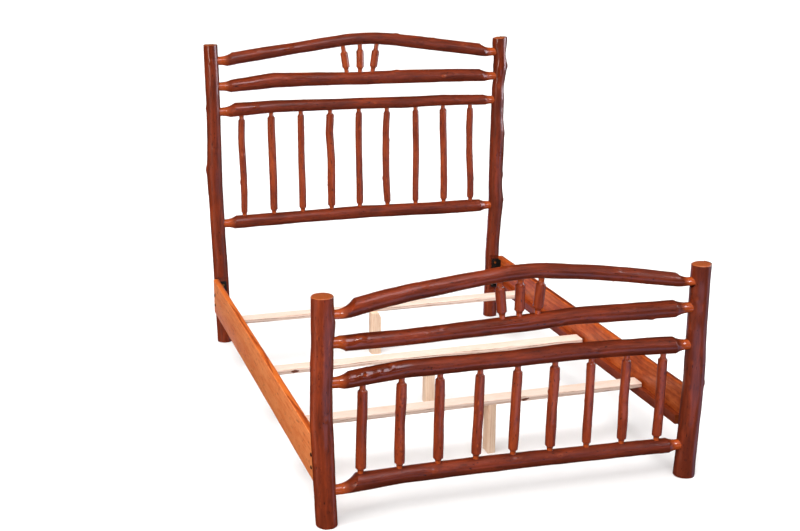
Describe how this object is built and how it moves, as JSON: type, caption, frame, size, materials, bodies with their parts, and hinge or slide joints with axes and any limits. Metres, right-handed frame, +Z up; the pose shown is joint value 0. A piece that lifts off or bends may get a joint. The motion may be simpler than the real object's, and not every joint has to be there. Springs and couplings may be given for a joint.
{
  "type": "log bed frame",
  "caption": "Rustic queen-size bed frame of peeled logs with spindled, arch-topped headboard and footboard, plank side rails on steel angles and lift-out slats on centre legs.",
  "frame": {"origin": "on the floor, midway between the four posts", "axes": "+X to the right seen from the foot, +Y towards the headboard, +Z up"},
  "size_m": [1.6128, 2.2317, 1.5721],
  "materials": {
    "peeled_log": "peeled pine log, red-brown stain under satin lacquer",
    "side_rail_pine": "planed pine board, orange-tan stain under satin lacquer",
    "cleat_pine": "planed pine strip, dark red-brown stain",
    "slat_pine": "unfinished planed pine",
    "leg_pine": "unfinished sawn pine",
    "black_steel": "black painted steel",
    "lag_steel": "yellow zinc-plated steel",
    "screw_steel": "zinc-plated steel"
  },
  "bodies": {
    "root": {"bolt_nuts": "black_steel", "bolt_washers": "black_steel", "bracket_foot_left": "black_steel", "bracket_foot_right": "black_steel", "bracket_head_left": "black_steel", "bracket_head_right": "black_steel", "carriage_bolts": "black_steel", "cleat_left": "cleat_pine", "cleat_right": "cleat_pine", "cleat_screws": "screw_steel", "foot_crest_rail": "peeled_log", "foot_fan_1": "peeled_log", "foot_fan_2": "peeled_log", "foot_fan_3": "peeled_log", "foot_lower_rail": "peeled_log", "foot_post_left": "peeled_log", "foot_post_right": "peeled_log", "foot_second_rail": "peeled_log", "foot_spindle_1": "peeled_log", "foot_spindle_2": "peeled_log", "foot_spindle_3": "peeled_log", "foot_spindle_4": "peeled_log", "foot_spindle_5": "peeled_log", "foot_spindle_6": "peeled_log", "foot_spindle_7": "peeled_log", "foot_spindle_8": "peeled_log", "foot_spindle_9": "peeled_log", "foot_third_rail": "peeled_log", "head_crest_rail": "peeled_log", "head_fan_1": "peeled_log", "head_fan_2": "peeled_log", "head_fan_3": "peeled_log", "head_lower_rail": "peeled_log", "head_post_left": "peeled_log", "head_post_right": "peeled_log", "head_second_rail": "peeled_log", "head_spindle_1": "peeled_log", "head_spindle_2": "peeled_log", "head_spindle_3": "peeled_log", "head_spindle_4": "peeled_log", "head_spindle_5": "peeled_log", "head_spindle_6": "peeled_log", "head_spindle_7": "peeled_log", "head_spindle_8": "peeled_log", "head_spindle_9": "peeled_log", "head_third_rail": "peeled_log", "lag_bolts": "lag_steel", "side_rail_left": "side_rail_pine", "side_rail_right": "side_rail_pine"},
    "slat_head": {"slat_head": "slat_pine", "slat_leg_head": "leg_pine", "slat_screws_head": "screw_steel"},
    "slat_middle": {"slat_middle": "slat_pine", "slat_leg_middle": "leg_pine", "slat_screws_middle": "screw_steel"},
    "slat_foot": {"slat_foot": "slat_pine", "slat_leg_foot": "leg_pine", "slat_screws_foot": "screw_steel"}
  },
  "joints": [
    {"name": "slat_head_lift", "type": "slide", "parent": "root", "child": "slat_head", "axis": [0, 0, 1], "range_m": [0, 0.13]},
    {"name": "slat_middle_lift", "type": "slide", "parent": "root", "child": "slat_middle", "axis": [0, 0, 1], "range_m": [0, 0.13]},
    {"name": "slat_foot_lift", "type": "slide", "parent": "root", "child": "slat_foot", "axis": [0, 0, 1], "range_m": [0, 0.13]}
  ]
}
